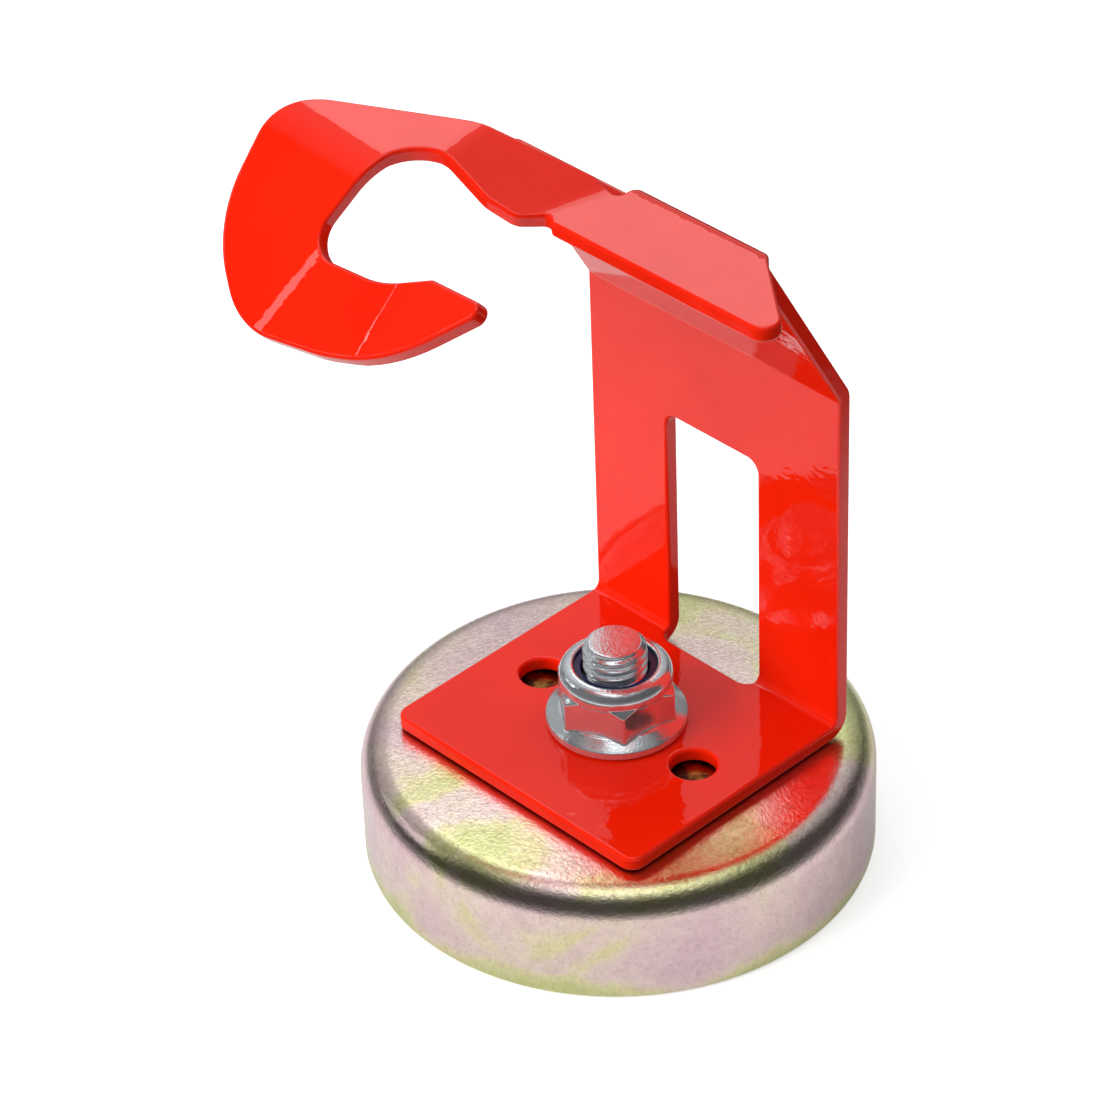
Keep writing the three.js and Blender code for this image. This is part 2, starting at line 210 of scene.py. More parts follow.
def add_pole(points, faces, normals, start, columns, below):
    """Closes a grid's end row onto the axis with a fan."""
    middle = len(points)
    tip = points[start] * (0, 0, 1)
    points = np.vstack([points, tip])
    normals = np.vstack([normals, (0, 0, -1 if below else 1)])
    for j in range(columns):
        a, b = start + j, start + (j + 1) % columns
        faces.append((b, a, middle) if below else (a, b, middle))
    return points, faces, normals


def rounded_loop(corners, step_angle=8.0, closed=True):
    """Points of an outline of [x, y, corner radius], its corners rounded by arcs."""
    points = []
    count = len(corners)
    for i, (x, y, radius) in enumerate(corners):
        corner = np.array([x, y], float)
        if not closed and i in (0, count - 1):
            points.append(corner)
            continue
        back = unit(np.array(corners[i - 1][:2], float) - corner)
        ahead = unit(np.array(corners[(i + 1) % count][:2], float) - corner)
        half = math.acos(np.clip(back @ ahead, -1, 1)) / 2
        if radius <= 0 or half > math.pi / 2 - 1e-4:
            points.append(corner)
            continue
        centre = corner + unit(back + ahead) * radius / math.sin(half)
        start = corner + back * radius / math.tan(half) - centre
        side = np.sign(start[0] * (corner - centre)[1] - start[1] * (corner - centre)[0])
        sweep = side * (math.pi - 2 * half)
        steps = max(3, math.ceil(abs(math.degrees(sweep)) / step_angle))
        for k in range(steps + 1):
            cos, sin = math.cos(sweep * k / steps), math.sin(sweep * k / steps)
            points.append(centre + (start[0] * cos - start[1] * sin, start[0] * sin + start[1] * cos))
    return np.array(points)


def split_long(points, longest):
    """Adds points to a closed outline so that no stretch is longer than asked."""
    result = []
    for a, b in zip(points, np.roll(points, -1, axis=0)):
        steps = max(1, math.ceil(np.linalg.norm(b - a) / longest))
        result += [a + (b - a) * k / steps for k in range(steps)]
    return np.array(result)


def lathe(name, body, slot, corners, columns, material, *nodes):
    """A ring turned about +Z from a closed profile of [radius, height, corner radius]."""
    profile = split_long(rounded_loop(corners), PROFILE_STEP)
    surface = grid_surface(turned(profile[:, 0], profile[:, 1], columns), True)
    return new_piece(name, body, slot, *surface, material, *nodes)


# ---------------------------------------------------------------- folded sheet

def setback(angle):
    return BEND * math.tan(angle / 2)


FOOT_BOTTOM = CUP_HEIGHT + REST_GAP
FOOT_MID = FOOT_BOTTOM + SHEET / 2
TOP_TURN = math.pi / 2 - LEAN
LEAN_LENGTH = (SHELF_MID - LEAN_START) / math.cos(LEAN)
SHELF_START = LEG_MID + LEAN_LENGTH * math.sin(LEAN) + setback(TOP_TURN)
TOP_BEND = SHELF_START - BEND * TOP_TURN
LEAN_BOTTOM = TOP_BEND - LEAN_LENGTH + setback(LEAN) + setback(TOP_TURN)
LEG_TOP = LEAN_BOTTOM - BEND * LEAN
LEG_BOTTOM = LEG_TOP - (LEAN_START - FOOT_MID - setback(LEAN) - setback(math.pi / 2))
FOOT_START = LEG_BOTTOM - BEND * math.pi / 2


def foot_v(forward):
    return FOOT_START - (forward - LEG_MID - setback(math.pi / 2))


def leg_v(height):
    return LEG_BOTTOM + (height - FOOT_MID - setback(math.pi / 2))


class Fold:
    """A bend of the sheet along a line through `at`, square to `away`; a positive angle bends upwards."""

    def __init__(self, at, away, angle, radius):
        self.at = np.array(at, float)
        self.away = unit(np.array(away, float))
        self.turn = abs(math.radians(angle))
        self.up = 1 if angle > 0 else -1
        self.radius = radius
        self.zone = self.turn * radius

    def travel(self, flat):
        return (flat - self.at) @ self.away + self.zone / 2

    def apply(self, points, normals, gone, chosen):
        rows = np.flatnonzero(chosen & (gone > 0))
        past = self.travel(points[rows, :2])
        angle = np.minimum(gone[rows] / self.radius, self.turn)
        cos, sin = np.cos(angle), np.sin(angle)
        extra = past - angle * self.radius
        arm = self.radius - self.up * points[rows, 2]
        forward = arm * sin + extra * cos
        points[rows, :2] += (forward - past)[:, None] * self.away
        points[rows, 2] = self.up * (self.radius - arm * cos + extra * sin)
        along = normals[rows, :2] @ self.away
        lift = normals[rows, 2]
        normals[rows, :2] += (along * cos - self.up * lift * sin - along)[:, None] * self.away
        normals[rows, 2] = self.up * along * sin + lift * cos


LEG_BENDS = [(TOP_BEND, TOP_TURN), (LEG_TOP, LEAN), (FOOT_START, math.pi / 2)]
LEG_FOLDS = [Fold((0, v + BEND * turn / 2), (0, -1), -math.degrees(turn), BEND) for v, turn in LEG_BENDS]
RISE = Fold((-0.3, 6.5), (-10.5, -2.4), 20, 9)
CREST = Fold((-18.0, 10.0), (-7.2, 0.6), -16, 10)
DROP = Fold((-31.8, 22.5), (0, 1), -38, 11)
VALLEY = Fold((-24.0, 43.4), (13.4, 2.1), 10, 20)
LIFT = Fold((-5.2, 41.0), (12.2, -0.7), 8, 8)
DROP_START = DROP.at[1] - DROP.zone / 2
DROP_END = DROP.at[1] + DROP.zone / 2


def hook_travel(bend, flat):
    """How far past a hook fold each point lies, reading only the fold's own stretch of the curl."""
    gone = bend.travel(flat)
    if bend in (RISE, CREST):
        return np.where(flat[:, 1] > DROP_START, np.inf, gone)
    if bend in (VALLEY, LIFT):
        return np.where(flat[:, 1] > DROP_END, gone, 0)
    return gone


def folded(flat, height, normals):
    """Carries points of the flat sheet and their normals to their folded place."""
    points = np.column_stack([flat, height])
    normals = normals.copy()
    on_leg = flat[:, 1] < SHELF_START
    for bend in reversed(LEG_FOLDS):
        bend.apply(points, normals, bend.travel(flat), on_leg)
    for bend in reversed([RISE, CREST, DROP, VALLEY, LIFT]):
        bend.apply(points, normals, hook_travel(bend, flat), ~on_leg)
    points[:, 2] += SHELF_MID
    mirror = (1, -1, 1)
    return points * mirror, normals * mirror


def sheet_loops():
    """The cut sheet's outline, then its holes."""
    free_edge = TOP_BEND - FREE_EDGE_DROP
    outline = rounded_loop([
        (-HALF_WIDTH, foot_v(FOOT_FRONT), 2.5),
        (HALF_WIDTH, foot_v(FOOT_FRONT), 2.5),
        (HALF_WIDTH, TOP_BEND - 1.3, 1.5),
        (SHELF_TIP, SHELF_FRONT, 2.5),
        (1.4, SHELF_FRONT, 0.8),
        (-0.3, 9.9, 1),
        (-3.2, 13.9, 2.9),
        (-8.3, 15.0, 4.7),
        (-22.7, 13.6, 7),
        (-25.7, 37.0, 4.6),
        (-9.4, 35.3, 18.6),
        (0.6, 30.9, 1.5),
        (16.0, 30.0, 1.6),
        (1.9, 43.9, 35),
        (-11.0, 48.2, 32),
        (-28.6, 51.4, 13.8),
        (-42.4, 40.6, 21.6),
        (-45.0, 19.6, 10.4),
        (-20.0, 6.0, 30.6),
        (-2.1, -0.5, 4),
        (3.3, 0.1, 0.8),
        (3.3, free_edge, 1),
        (-HALF_WIDTH, free_edge, 3),
    ], 4)
    window = rounded_loop([
        (WINDOW_ASIDE - WINDOW_HALF, foot_v(WINDOW_FOOT), 2.2),
        (WINDOW_ASIDE - WINDOW_HALF, leg_v(WINDOW_TOP), 2.2),
        (WINDOW_ASIDE + WINDOW_HALF, leg_v(WINDOW_TOP), 2.2),
        (WINDOW_ASIDE + WINDOW_HALF, foot_v(WINDOW_FOOT), 2.2),
    ])
    loops = [outline, window]
    holes = [(0, STUD_HOLE_RADIUS), (-SLOT_HOLE_X, SLOT_HOLE_RADIUS), (SLOT_HOLE_X, SLOT_HOLE_RADIUS)]
    for x, radius in holes:
        angle = -TAU * np.arange(72) / 72
        loops.append(np.column_stack([x + radius * np.cos(angle), foot_v(0) + radius * np.sin(angle)]))
    return loops


def bend_levels():
    """Flat v of the fine rows that follow the leg's bends."""
    levels = []
    for v, turn in LEG_BENDS:
        steps = round(math.degrees(turn) / 5)
        levels += [v + BEND * turn * k / steps for k in range(steps + 1)]
    return np.array(levels)


def split_at_levels(loop, levels):
    """Adds points where a closed outline crosses the bend rows, and along its long stretches."""
    result = []
    for a, b in zip(loop, np.roll(loop, -1, axis=0)):
        steps = max(1, math.ceil(np.linalg.norm(b - a) / EDGE_STEP))
        shares = [k / steps for k in range(steps)]
        rise = b[1] - a[1]
        if abs(rise) > 1e-6:
            crossings = (levels - a[1]) / rise
            shares += [s for s in crossings if 1e-3 < s < 1 - 1e-3]
        shares = sorted(shares)
        kept = [s for s, before in zip(shares, [-1] + shares) if s - before > 1e-3]
        result += [a + (b - a) * s for s in kept]
    return np.array(result)


def loop_normals(loop):
    """Normals of a closed outline, away from the sheet, which lies on its left."""
    ahead = unit(np.roll(loop, -1, axis=0) - loop)
    behind = unit(loop - np.roll(loop, 1, axis=0))
    tangent = unit(ahead + behind)
    return np.column_stack([tangent[:, 1], -tangent[:, 0]])


def inside(points, loops):
    """Whether each point lies within the first loop and outside the others."""
    result = np.zeros(len(points), bool)
    for loop in loops:
        for a, b in zip(loop, np.roll(loop, -1, axis=0)):
            if a[1] == b[1]:
                continue
            spans = (points[:, 1] > a[1]) != (points[:, 1] > b[1])
            reach = a[0] + (points[:, 1] - a[1]) * (b[0] - a[0]) / (b[1] - a[1])
            result ^= spans & (points[:, 0] < reach)
    return result


def inner_points(loops, levels):
    """Grid points within the sheet: fine rows in the bends, an even grid elsewhere."""
    shelf_rows = np.arange(SHELF_START + 0.6, 50, SHELF_STEP)
    shelf = [(u, v) for u in np.arange(-48, 46, SHELF_STEP) for v in shelf_rows]
    rows = [(u, v) for u in np.arange(-25, 46, BEND_STEP) for v in levels]
    gaps = np.arange(foot_v(FOOT_FRONT), TOP_BEND, PLAIN_STEP)
    plain = [v for v in gaps if np.abs(levels - v).min() > PLAIN_STEP / 2]
    flats = [(u, v) for u in np.arange(-25, 46, PLAIN_STEP) for v in plain]
    points = np.array(shelf + rows + flats)
    points = points[inside(points, loops)]
    edge = np.vstack(loops)
    near = np.array([np.abs(edge - p).max(axis=1).min() for p in points])
    return points[near > 0.4]


def face_triangles(loops, levels):
    """Triangulates the sheet's flat face; its first points are the loops' own, in order."""
    extra = inner_points(loops, levels)
    points = np.vstack(loops + [extra])
    edges = []
    start = 0
    for loop in loops:
        count = len(loop)
        edges += [(start + i, start + (i + 1) % count) for i in range(count)]
        start += count
    found = delaunay_2d_cdt([Vector(p) for p in points], edges, [], 0, 1e-5)
    origin = [ids[0] for ids in found[3]]
    triangles = np.array([[origin[i] for i in face] for face in found[2]])
    middles = points[triangles].mean(axis=1)
    return points, triangles[inside(middles, loops)]


def sheet_surface():
    """Points, faces and normals of the folded sheet, with rounded edges."""
    levels = bend_levels()
    loops = [split_at_levels(loop, levels) for loop in sheet_loops()]
    outward = [loop_normals(loop) for loop in loops]
    inset = [loop - EDGE_ROUND * normal for loop, normal in zip(loops, outward)]
    face, triangles = face_triangles(inset, levels)
    arc = np.linspace(0, math.pi / 2, 6)
    half = SHEET / 2
    profile = [(EDGE_ROUND * (1 - math.sin(t)), half - EDGE_ROUND * (1 - math.cos(t)), t) for t in arc]
    profile += [(inward, -height, math.pi - t) for inward, height, t in reversed(profile)]
    count = len(face)
    faces = [(c, b, a) for a, b, c in triangles]
    faces += [(count + a, count + b, count + c) for a, b, c in triangles]
    flats = [face, face]
    heights = [np.full(count, SHEET / 2), np.full(count, -SHEET / 2)]
    normals = [np.tile((0.0, 0.0, 1.0), (count, 1)), np.tile((0.0, 0.0, -1.0), (count, 1))]
    total = 2 * count
    first = 0
    for loop, normal in zip(loops, outward):
        size = len(loop)
        rows = [np.arange(first, first + size)]
        for inward, level, turn in profile[1:-1]:
            flats.append(loop - inward * normal)
            heights.append(np.full(size, level))
            normals.append(np.column_stack([normal * math.sin(turn), np.full(size, math.cos(turn))]))
            rows.append(np.arange(total, total + size))
            total += size
        rows.append(np.arange(count + first, count + first + size))
        for upper, lower in zip(rows, rows[1:]):
            for j in range(size):
                k = (j + 1) % size
                faces.append((int(upper[j]), int(upper[k]), int(lower[k]), int(lower[j])))
        first += size
    points, normals = folded(np.vstack(flats), np.concatenate(heights), np.vstack(normals))
    return points, [tuple(int(i) for i in f) for f in faces], normals


# ---------------------------------------------------------------- nut and stud

def smooth_min(a, b, blend):
    h = np.clip(0.5 + 0.5 * (b - a) / blend, 0, 1)
    return b + (a - b) * h - blend * h * (1 - h)


def smooth_max(a, b, blend):
    return -smooth_min(-a, -b, blend)


def along(pairs, z):
    """Straight-line interpolation through (height, radius) pairs."""
    return np.interp(z, [p[0] for p in pairs], [p[1] for p in pairs])


def nut_outer(z, angle):
    """The nut's outer radius at heights z above its seat: flange, chamfered hexagon and crimped collar."""
    from_flat = (angle - NUT_TURN) % (math.pi / 3) - math.pi / 6
    hexagon = ACROSS_FLATS / 2 / np.cos(from_flat)
    hexagon = smooth_min(hexagon, CORNER_RADIUS, 0.12)
    chamfer = along([(0, 11.5), (5.0, 11.5), (6.9, 9.8), (8.0, 8.7), (9.0, 7.5), (12, 4)], z)
    body = smooth_min(hexagon, chamfer, 0.18)
    flange = along([(0, 11.3), (1.25, 11.3), (1.4, 10.8), (2.6, 9.0), (3.2, 7.0), (12, 4)], z)
    flange = smooth_min(flange, FLANGE_RADIUS, FLANGE_ROUND)
    collar = along([(0, 4), (6.6, 6.0), (7.45, 8.6), (7.8, 8.86), (8.4, 8.86), (12, 8.7)], z)
    rise = np.clip(z - CROWN_START, 0, CROWN_REACH)
    crown = CROWN_RADIUS + np.sqrt(np.clip(CROWN_ROUND ** 2 - rise ** 2, 0, None))
    collar = smooth_min(collar, crown, 0.15)
    return smooth_max(smooth_max(body, flange, 0.25), collar, 0.14)


def nut_surface():
    columns = 360
    angle = TAU * np.arange(columns) / columns
    rows = []
    for radius in np.linspace(BORE_RADIUS + 0.3, FLANGE_RADIUS - 0.5, 8):
        rows.append((np.full(columns, radius), np.zeros(columns)))
    for t in np.linspace(0, math.pi / 2, 6)[1:]:
        radius = FLANGE_RADIUS - FLANGE_ROUND * (1 - math.sin(t))
        z = FLANGE_ROUND * (1 - math.cos(t))
        rows.append((np.full(columns, radius), np.full(columns, z)))
    levels = [np.linspace(0.45, 3.2, 40), np.linspace(3.4, 6.2, 15), np.linspace(6.3, 10.45, 62)]
    for z in np.concatenate(levels):
        rows.append((nut_outer(z, angle), np.full(columns, z)))
    lip = [
        (7.25, 10.53), (7.05, 10.58), (6.85, NUT_HEIGHT), (6.7, 10.58), (6.56, 10.5),
        (LIP_RADIUS, 10.38), (LIP_RADIUS, 10.2),
    ]
    bore = [(6.55, 10.12), (7.0, 10.1), (7.0, 7.4), (5.4, 7.4), (BORE_RADIUS, 7.3), (BORE_RADIUS, 0.3)]
    for radius, z in lip + bore:
        rows.append((np.full(columns, radius), np.full(columns, z)))
    radius = np.array([r for r, z in rows])
    height = np.array([z for r, z in rows]) + FOOT_BOTTOM + SHEET + REST_GAP
    return grid_surface(turned(radius, height, columns), True)


def thread_radius(z, angle):
    phase = (z / PITCH - angle / TAU) % 1
    groove = np.clip(1.35 - 2.9 * np.abs(phase - 0.5), 0, 1)
    groove = groove * groove * (3 - 2 * groove) * 0.5 + groove * 0.5
    return STUD_RADIUS - THREAD_DEPTH * groove


def stud_surface():
    columns = 128
    angle = TAU * np.arange(columns) / columns
    head = [(3, 0), (6, 0), (8.3, 0), (8.6, 0.04), (8.85, 0.15), (8.96, 0.35), (9, 0.6), (9, 3.7)]
    shoulder = [(8.9, 3.95), (8.6, HEAD_HEIGHT), (5.2, HEAD_HEIGHT), (4.95, 4.1)]
    neck = [(NECK_RADIUS, 4.4), (NECK_RADIUS, 12), (NECK_RADIUS, THREAD_START - 0.1)]
    rows = head + shoulder + neck
    radius = [np.full(columns, r) for r, z in rows]
    height = [np.full(columns, z) for r, z in rows]
    for z in np.arange(THREAD_START, STUD_TOP - 0.02, PITCH / 16):
        ramp = np.clip((z - THREAD_START) / PITCH, 0, 1)
        thread = NECK_RADIUS + (thread_radius(z, angle) - NECK_RADIUS) * ramp
        limit = STUD_RADIUS - TIP_CHAMFER + TIP_SLOPE * (STUD_TOP - z)
        radius.append(smooth_min(thread, np.full(columns, limit), 0.14))
        height.append(np.full(columns, z))
    rim = radius[-1].min()
    for inward, drop in [(0.1, 0.015), (0.25, 0), (0.9, 0), (2.2, 0)]:
        radius.append(np.minimum(radius[-1], rim - inward))
        height.append(np.full(columns, STUD_TOP - drop))
    return grid_surface(turned(np.array(radius), np.array(height), columns), False)


# ---------------------------------------------------------------- materials

class Graph:
    """A material with one Principled shader, its texture coordinates in metres on the object."""

    def __init__(self, name, **sockets):
        self.material = bpy.data.materials.new(name)
        self.material.use_nodes = True
        self.tree = self.material.node_tree
        self.shader = self.tree.nodes["Principled BSDF"]
        for socket, value in sockets.items():
            self.shader.inputs[socket.replace("_", " ")].default_value = value
        self.place = self.node("ShaderNodeTexCoord").outputs["Object"]

    def node(self, kind, inputs=None, **settings):
        node = self.tree.nodes.new(kind)
        for key, value in settings.items():
            setattr(node, key, value)
        for key, value in (inputs or {}).items():
            if isinstance(value, bpy.types.NodeSocket):
                self.tree.links.new(value, node.inputs[key])
            else:
                node.inputs[key].default_value = value
        return node

    def noise(self, scale, detail=2.0, roughness=0.5, distortion=0.0, stretch=None):
        place = self.place
        if stretch:
            place = self.node("ShaderNodeMapping", {"Vector": place, "Scale": stretch}).outputs[0]
        return self.node("ShaderNodeTexNoise", {
            "Vector": place, "Scale": scale, "Detail": detail, "Roughness": roughness,
            "Distortion": distortion}).outputs["Fac"]

    def ramp(self, factor, stops):
        node = self.node("ShaderNodeValToRGB", {"Fac": factor})
        ramp = node.color_ramp
        while len(ramp.elements) < len(stops):
            ramp.elements.new(0.5)
        for element, (position, colour) in zip(ramp.elements, stops):
            element.position = position
            element.color = (*colour, 1)
        return node.outputs["Color"]

    def spread(self, factor, low, high, start=0.3, end=0.7):
        return self.node("ShaderNodeMapRange", {
            "Value": factor, "From Min": start, "From Max": end,
            "To Min": low, "To Max": high}).outputs[0]

    def mix(self, factor, a, b, blend="MIX"):
        node = self.node("ShaderNodeMix", data_type="RGBA", blend_type=blend)
        for key, value in ((0, factor), (6, a), (7, b)):
            if isinstance(value, bpy.types.NodeSocket):
                self.tree.links.new(value, node.inputs[key])
            elif key == 0:
                node.inputs[0].default_value = value
            else:
                node.inputs[key].default_value = (*value, 1)
        return node.outputs[2]

    def distance(self):
        return self.node("ShaderNodeVectorMath", {0: self.place}, operation="LENGTH").outputs["Value"]

    def maths(self, operation, a, b):
        return self.node("ShaderNodeMath", {0: a, 1: b}, operation=operation).outputs[0]

    def bump(self, height, distance, under=None):
        inputs = {"Height": height, "Strength": 1.0, "Distance": distance}
        if under is not None:
            inputs["Normal"] = under
        return self.node("ShaderNodeBump", inputs).outputs["Normal"]

    def set(self, socket, output):
        self.tree.links.new(output, self.shader.inputs[socket])


def powder_coat():
    graph = Graph("red_powder_coat", Specular_IOR_Level=0.5)
    colour = graph.ramp(graph.noise(60, 3), [(0.3, (0.78, 0.012, 0.0010)), (0.7, (0.86, 0.017, 0.0020))])
    colour = graph.mix(graph.spread(graph.noise(2600, 1), 0, 0.08), colour, (0.60, 0.004, 0.001))
    graph.set("Base Color", colour)
    graph.set("Roughness", graph.spread(graph.noise(220, 3), 0.02, 0.05))
    peel = graph.bump(graph.noise(150, 2, 0.45, 0.4), 0.00007)
    peel = graph.bump(graph.noise(480, 2, 0.5), 0.000028, peel)
    graph.set("Normal", peel)
    return graph.material


def passivated_zinc():
    """Lilac, pink and olive film, olive at the rim, and painted shade in dark bronze with painted golden
    glints on the cup's top under the foot.
    """
    graph = Graph("passivated_zinc", Metallic=1.0)
    height = graph.node("ShaderNodeSeparateXYZ", {0: graph.place}).outputs[2]
    rim = graph.spread(height, 0.16, -0.10, 0.0005, 0.0045)
    top = graph.spread(height, 0, 0.12, 0.0160, 0.0190)
    drift = graph.maths("ADD", graph.noise(30, 3, 0.5, 1.2), graph.maths("ADD", rim, top))
    film = graph.ramp(drift, [
        (0.30, (0.80, 0.55, 0.62)),
        (0.42, (0.87, 0.64, 0.63)),
        (0.50, (0.90, 0.74, 0.60)),
        (0.55, (0.84, 0.78, 0.38)),
        (0.66, (0.68, 0.72, 0.24)),
    ])
    cloud = graph.noise(420, 5, 0.65, 0.6)
    mottle = graph.ramp(cloud, [(0.35, (0.60, 0.50, 0.48)), (0.62, (0.95, 0.88, 0.84))])
    colour = graph.mix(0.25, film, mottle)
    grain = graph.noise(1600, 3, 0.8)
    colour = graph.mix(graph.spread(grain, 0.0, 0.35, 0.5, 0.75), colour, (0.24, 0.20, 0.17))
    # Painted shade and painted glints: the cup's top under the foot is darkened to dark bronze with golden
    # flecks, so it looks shaded where it shows through the foot's holes.
    near_stud = graph.spread(graph.distance(), 1, 0, 0.0278, 0.0286)
    painted_shade_under_foot = graph.maths("MULTIPLY", near_stud, graph.spread(height, 0, 1, 0.0185, 0.0190))
    painted_shade_and_glints = graph.ramp(graph.noise(260, 3, 0.6), [(0.45, (0.06, 0.03, 0.016)), (0.70, (0.62, 0.36, 0.08))])
    colour = graph.mix(painted_shade_under_foot, colour, painted_shade_and_glints)
    graph.set("Base Color", colour)
    graph.set("Roughness", graph.spread(graph.noise(900, 4, 0.7), 0.11, 0.22))
    graph.set("Normal", graph.bump(grain, 0.00007))
    return graph.material


def bright_zinc():
    graph = Graph("bright_zinc", Metallic=0.9)
    tone = graph.noise(260, 4, 0.6)
    colour = graph.ramp(tone, [(0.3, (0.66, 0.72, 0.77)), (0.7, (0.86, 0.90, 0.93))])
    graph.set("Base Color", colour)
    graph.set("Roughness", graph.spread(graph.noise(900, 3, 0.6), 0.08, 0.20))
    drawn = graph.bump(graph.noise(2400, 2, 0.6, 0, (1, 1, 0.12)), 0.00003)
    graph.set("Normal", graph.bump(graph.noise(3200, 2, 0.6), 0.000008, drawn))
    return graph.material


def nylon():
    graph = Graph("navy_nylon", Specular_IOR_Level=0.5)
    colour = graph.ramp(graph.noise(500, 3), [(0.3, (0.008, 0.012, 0.06)), (0.7, (0.015, 0.022, 0.11))])
    graph.set("Base Color", colour)
    graph.set("Roughness", graph.spread(graph.noise(900, 2), 0.28, 0.42))
    graph.set("Normal", graph.bump(graph.noise(1500, 2), 0.00001))
    return graph.material


def ferrite():
    graph = Graph("ferrite")
    speckle = graph.noise(900, 5, 0.7)
    colour = graph.ramp(speckle, [(0.3, (0.018, 0.018, 0.020)), (0.75, (0.055, 0.053, 0.052))])
    graph.set("Base Color", colour)
    graph.set("Roughness", graph.spread(graph.noise(400, 3), 0.55, 0.8))
    scored = graph.bump(graph.noise(500, 2, 0.5, 0, (1, 14, 1)), 0.00003)
    graph.set("Normal", graph.bump(graph.noise(2500, 3), 0.00003, scored))
    return graph.material


def resin():
    graph = Graph("black_resin")
    colour = graph.ramp(graph.noise(120, 3), [(0.3, (0.010, 0.010, 0.011)), (0.7, (0.022, 0.022, 0.024))])
    graph.set("Base Color", colour)
    graph.set("Roughness", graph.spread(graph.noise(600, 2), 0.35, 0.55))
    graph.set("Normal", graph.bump(graph.noise(260, 2), 0.00008))
    return graph.material


# ---------------------------------------------------------------- pieces

def build_pieces():
    red, cup_metal, zinc = powder_coat(), passivated_zinc(), bright_zinc()
    black, dark, blue = resin(), ferrite(), nylon()
    inner = CUP_RADIUS - CUP_WALL
    roof = CUP_HEIGHT - CUP_ROOF
    ring_top = roof - FIT
    resin_top = ring_top - RESIN_DROP
    seat = FOOT_BOTTOM + SHEET + REST_GAP
    insert_bottom = seat + INSERT_BOTTOM
    insert_top = seat + NUT_HEIGHT - INSERT_DROP
    new_piece("folded_bracket", "bracket", "red_powder_coat", *sheet_surface(), red, "bracket")
    lathe("drawn_cup", "magnet_base", "passivated_zinc", [
        (CUP_RADIUS, 0, 0.8), (CUP_RADIUS, CUP_HEIGHT, SHOULDER), (STUD_RADIUS + FIT, CUP_HEIGHT, 0.2),
        (STUD_RADIUS + FIT, roof, 0.1), (inner, roof, 2), (inner, 0, 0.4),
    ], 320, cup_metal, "magnet_cup")
    lathe("magnet_ring", "magnet_base", "ferrite", [
        (RING_INNER, FERRITE_BOTTOM, 0.3), (RING_OUTER, FERRITE_BOTTOM, 0.4),
        (RING_OUTER, ring_top, 0.3), (RING_INNER, ring_top, 0.3),
    ], 180, dark, "ferrite_ring")
    lathe("resin_outer", "magnet_base", "black_resin", [
        (RING_OUTER + FIT, RESIN_BOTTOM, 0.1), (inner - FIT, RESIN_BOTTOM, 0.1),
        (inner - FIT, resin_top, 0.1), (RING_OUTER + FIT, resin_top, 0.1),
    ], 180, black, "outer_spacer")
    lathe("resin_inner", "magnet_base", "black_resin", [
        (POLE_RADIUS + FIT, RESIN_BOTTOM, 0.1), (RING_INNER - FIT, RESIN_BOTTOM, 0.1),
        (RING_INNER - FIT, resin_top, 0.1), (POLE_RADIUS + FIT, resin_top, 0.1),
    ], 120, black, "inner_spacer")
    lathe("pole_piece", "magnet_base", "passivated_zinc", [
        (HEAD_RADIUS + FIT, 0, 0.2), (POLE_RADIUS, 0, 0.5), (POLE_RADIUS, ring_top, 0.2),
        (STUD_RADIUS + FIT, ring_top, 0.2), (STUD_RADIUS + FIT, HEAD_HEIGHT + FIT, 0.1),
        (HEAD_RADIUS + FIT, HEAD_HEIGHT + FIT, 0.1),
    ], 120, cup_metal, "centre_pole")
    new_piece("threaded_stud", "magnet_base", "bright_zinc", *stud_surface(), zinc, "stud")
    new_piece("flange_nut", "nut", "bright_zinc", *nut_surface(), zinc, "lock_nut")
    lathe("locking_ring", "insert", "navy_nylon", [
        (BORE_RADIUS, insert_bottom, 0.1), (INSERT_RADIUS, insert_bottom, 0.1),
        (INSERT_RADIUS, insert_top, 0.1), (BORE_RADIUS, insert_top, 0.25),
    ], 120, blue, "nylon_insert")


# ---------------------------------------------------------------- studio

def camera_axes():
    cos_a, sin_a = math.cos(CAMERA_TURN), math.sin(CAMERA_TURN)
    cos_e, sin_e = math.cos(CAMERA_RISE), math.sin(CAMERA_RISE)
    right = Vector((cos_a, sin_a, 0))
    up = Vector((-sin_a * sin_e, cos_a * sin_e, cos_e))
    back = Vector((sin_a * cos_e, -cos_a * cos_e, sin_e))
    return right, up, back


def add_camera():
    right, up, back = camera_axes()
    place = CAMERA_DISTANCE * back - CAMERA_ASIDE[0] * right - CAMERA_ASIDE[1] * up
    cos_r, sin_r = math.cos(CAMERA_ROLL), math.sin(CAMERA_ROLL)
    axes = Matrix((cos_r * right - sin_r * up, sin_r * right + cos_r * up, back)).transposed()
    data = bpy.data.cameras.new("camera")
    data.lens = CAMERA_LENS
    data.sensor_width = CAMERA_SENSOR
    data.clip_start = 0.01
    camera = bpy.data.objects.new("camera", data)
    camera.matrix_world = Matrix.Translation(place * MM) @ axes.to_4x4()
    bpy.context.scene.collection.objects.link(camera)
    bpy.context.scene.camera = camera


def add_softbox(name, place, target, size, power, reflected):
    data = bpy.data.lights.new(name, "AREA")
    data.shape = "RECTANGLE"
    data.size, data.size_y = size
    data.energy = power
    lamp = bpy.data.objects.new(name, data)
    lamp.location = place
    lamp.rotation_euler = (Vector(target) - Vector(place)).to_track_quat("-Z", "Y").to_euler()
    lamp.visible_camera = False
    lamp.visible_glossy = reflected
    bpy.context.scene.collection.objects.link(lamp)


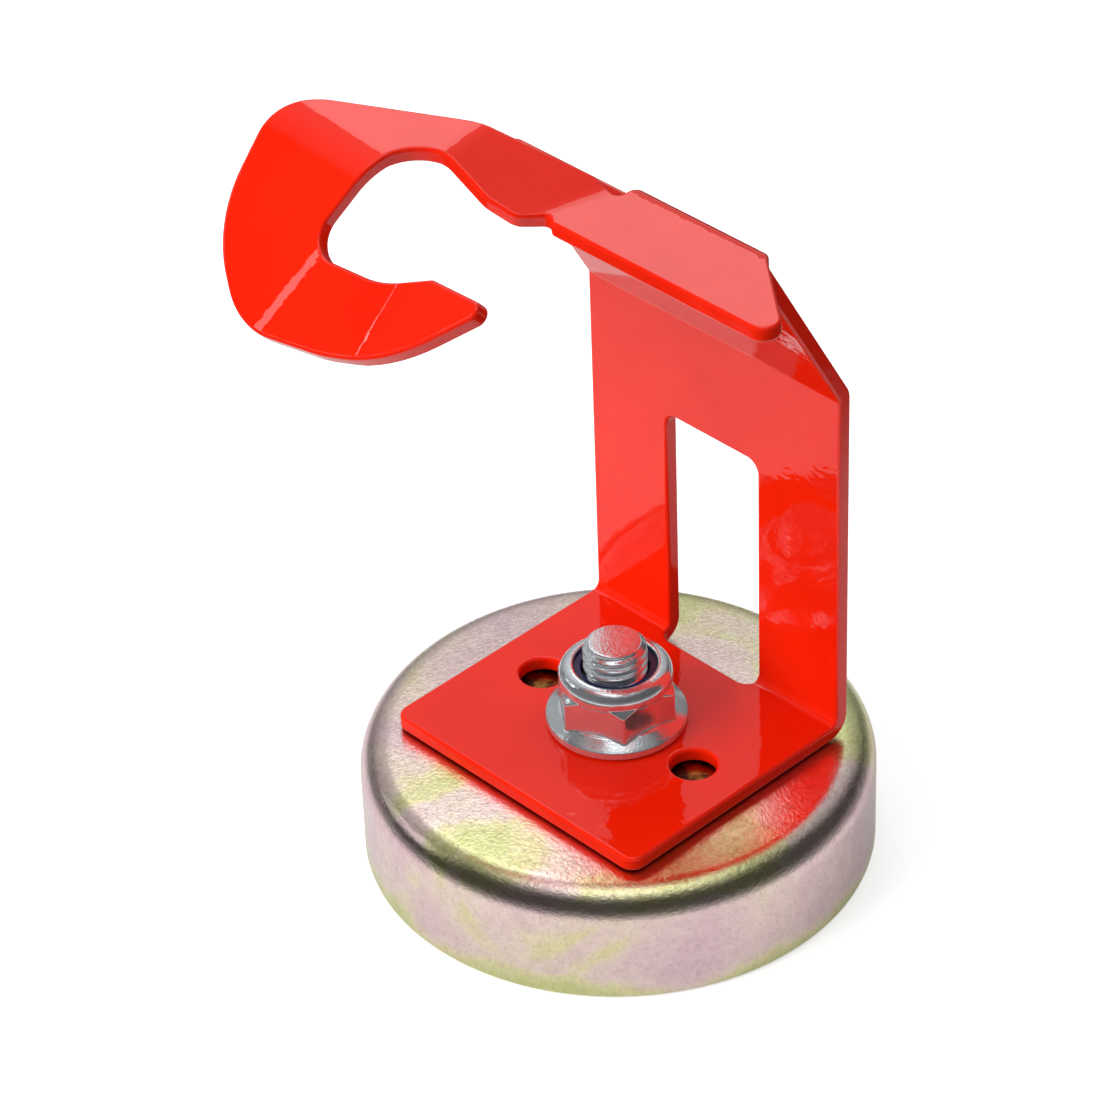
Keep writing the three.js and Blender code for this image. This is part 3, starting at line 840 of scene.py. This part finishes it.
def direction_levels(tree, axis, levels):
    """Grey levels of the surroundings by how far each direction points along an axis."""
    place = tree.nodes.new("ShaderNodeTexCoord")
    facing = tree.nodes.new("ShaderNodeVectorMath")
    facing.operation = "DOT_PRODUCT"
    facing.inputs[1].default_value = axis
    spread = tree.nodes.new("ShaderNodeMapRange")
    spread.inputs["From Min"].default_value = -1
    ramp = tree.nodes.new("ShaderNodeValToRGB")
    while len(ramp.color_ramp.elements) < len(levels):
        ramp.color_ramp.elements.new(0.5)
    for element, (position, level) in zip(ramp.color_ramp.elements, levels):
        element.position = position
        element.color = (level, level, level, 1)
    tree.links.new(place.outputs["Generated"], facing.inputs[0])
    tree.links.new(facing.outputs["Value"], spread.inputs["Value"])
    tree.links.new(spread.outputs[0], ramp.inputs["Fac"])
    return ramp.outputs["Color"]


def mixed(tree, kind, factor, a, b):
    node = tree.nodes.new("ShaderNodeMix")
    node.data_type = "RGBA"
    node.blend_type = kind
    for index, value in ((0, factor), (6, a), (7, b)):
        if isinstance(value, bpy.types.NodeSocket):
            tree.links.new(value, node.inputs[index])
        else:
            node.inputs[index].default_value = value
    return node.outputs[2]


def add_world():
    """Even light all round; in reflections, a room bright at the back left, overhead and low down."""
    world = bpy.data.worlds.new("studio")
    world.use_nodes = True
    bpy.context.scene.world = world
    tree = world.node_tree
    backdrop = direction_levels(tree, BACKDROP_AXIS, BACKDROP_LEVELS)
    heights = direction_levels(tree, HEIGHT_AXIS, HEIGHT_LEVELS)
    room = mixed(tree, "LIGHTEN", 1.0, backdrop, heights)
    rays = tree.nodes.new("ShaderNodeLightPath")
    fill = (ROOM_FILL, ROOM_FILL, ROOM_FILL, 1)
    seen = mixed(tree, "MIX", rays.outputs["Is Glossy Ray"], fill, room)
    tree.links.new(seen, tree.nodes["Background"].inputs["Color"])


def add_floor():
    """A pale floor that lights the object from a table's width only."""
    corners = [(x * FLOOR_HALF, y * FLOOR_HALF, 0) for x, y in [(-1, -1), (1, -1), (1, 1), (-1, 1)]]
    mesh = bpy.data.meshes.new("floor")
    mesh.from_pydata(corners, [], [(0, 1, 2, 3)])
    graph = Graph("pale_floor", Roughness=0.6, Emission_Color=(1, 1, 1, 1))
    pale = graph.ramp(graph.noise(9, 3), [(0.3, (0.90, 0.90, 0.90)), (0.7, (0.93, 0.93, 0.93))])
    beyond = graph.spread(graph.distance(), 0, 1, *TABLE_EDGE)
    unseen = graph.maths("SUBTRACT", 1, graph.node("ShaderNodeLightPath").outputs["Is Camera Ray"])
    graph.set("Base Color", graph.mix(graph.maths("MULTIPLY", beyond, unseen), pale, (0.03, 0.03, 0.03)))
    graph.set("Emission Strength", graph.spread(unseen, FLOOR_LIFT, 0, 0, 1))
    mesh.materials.append(graph.material)
    floor = bpy.data.objects.new("floor", mesh)
    floor.location.z = -FLOOR_DROP
    bpy.context.scene.collection.objects.link(floor)


def add_studio():
    add_camera()
    add_world()
    add_floor()
    for softbox in SOFTBOXES:
        add_softbox(*softbox)
    bpy.context.scene.view_settings.view_transform = "Standard"


build_pieces()
add_studio()
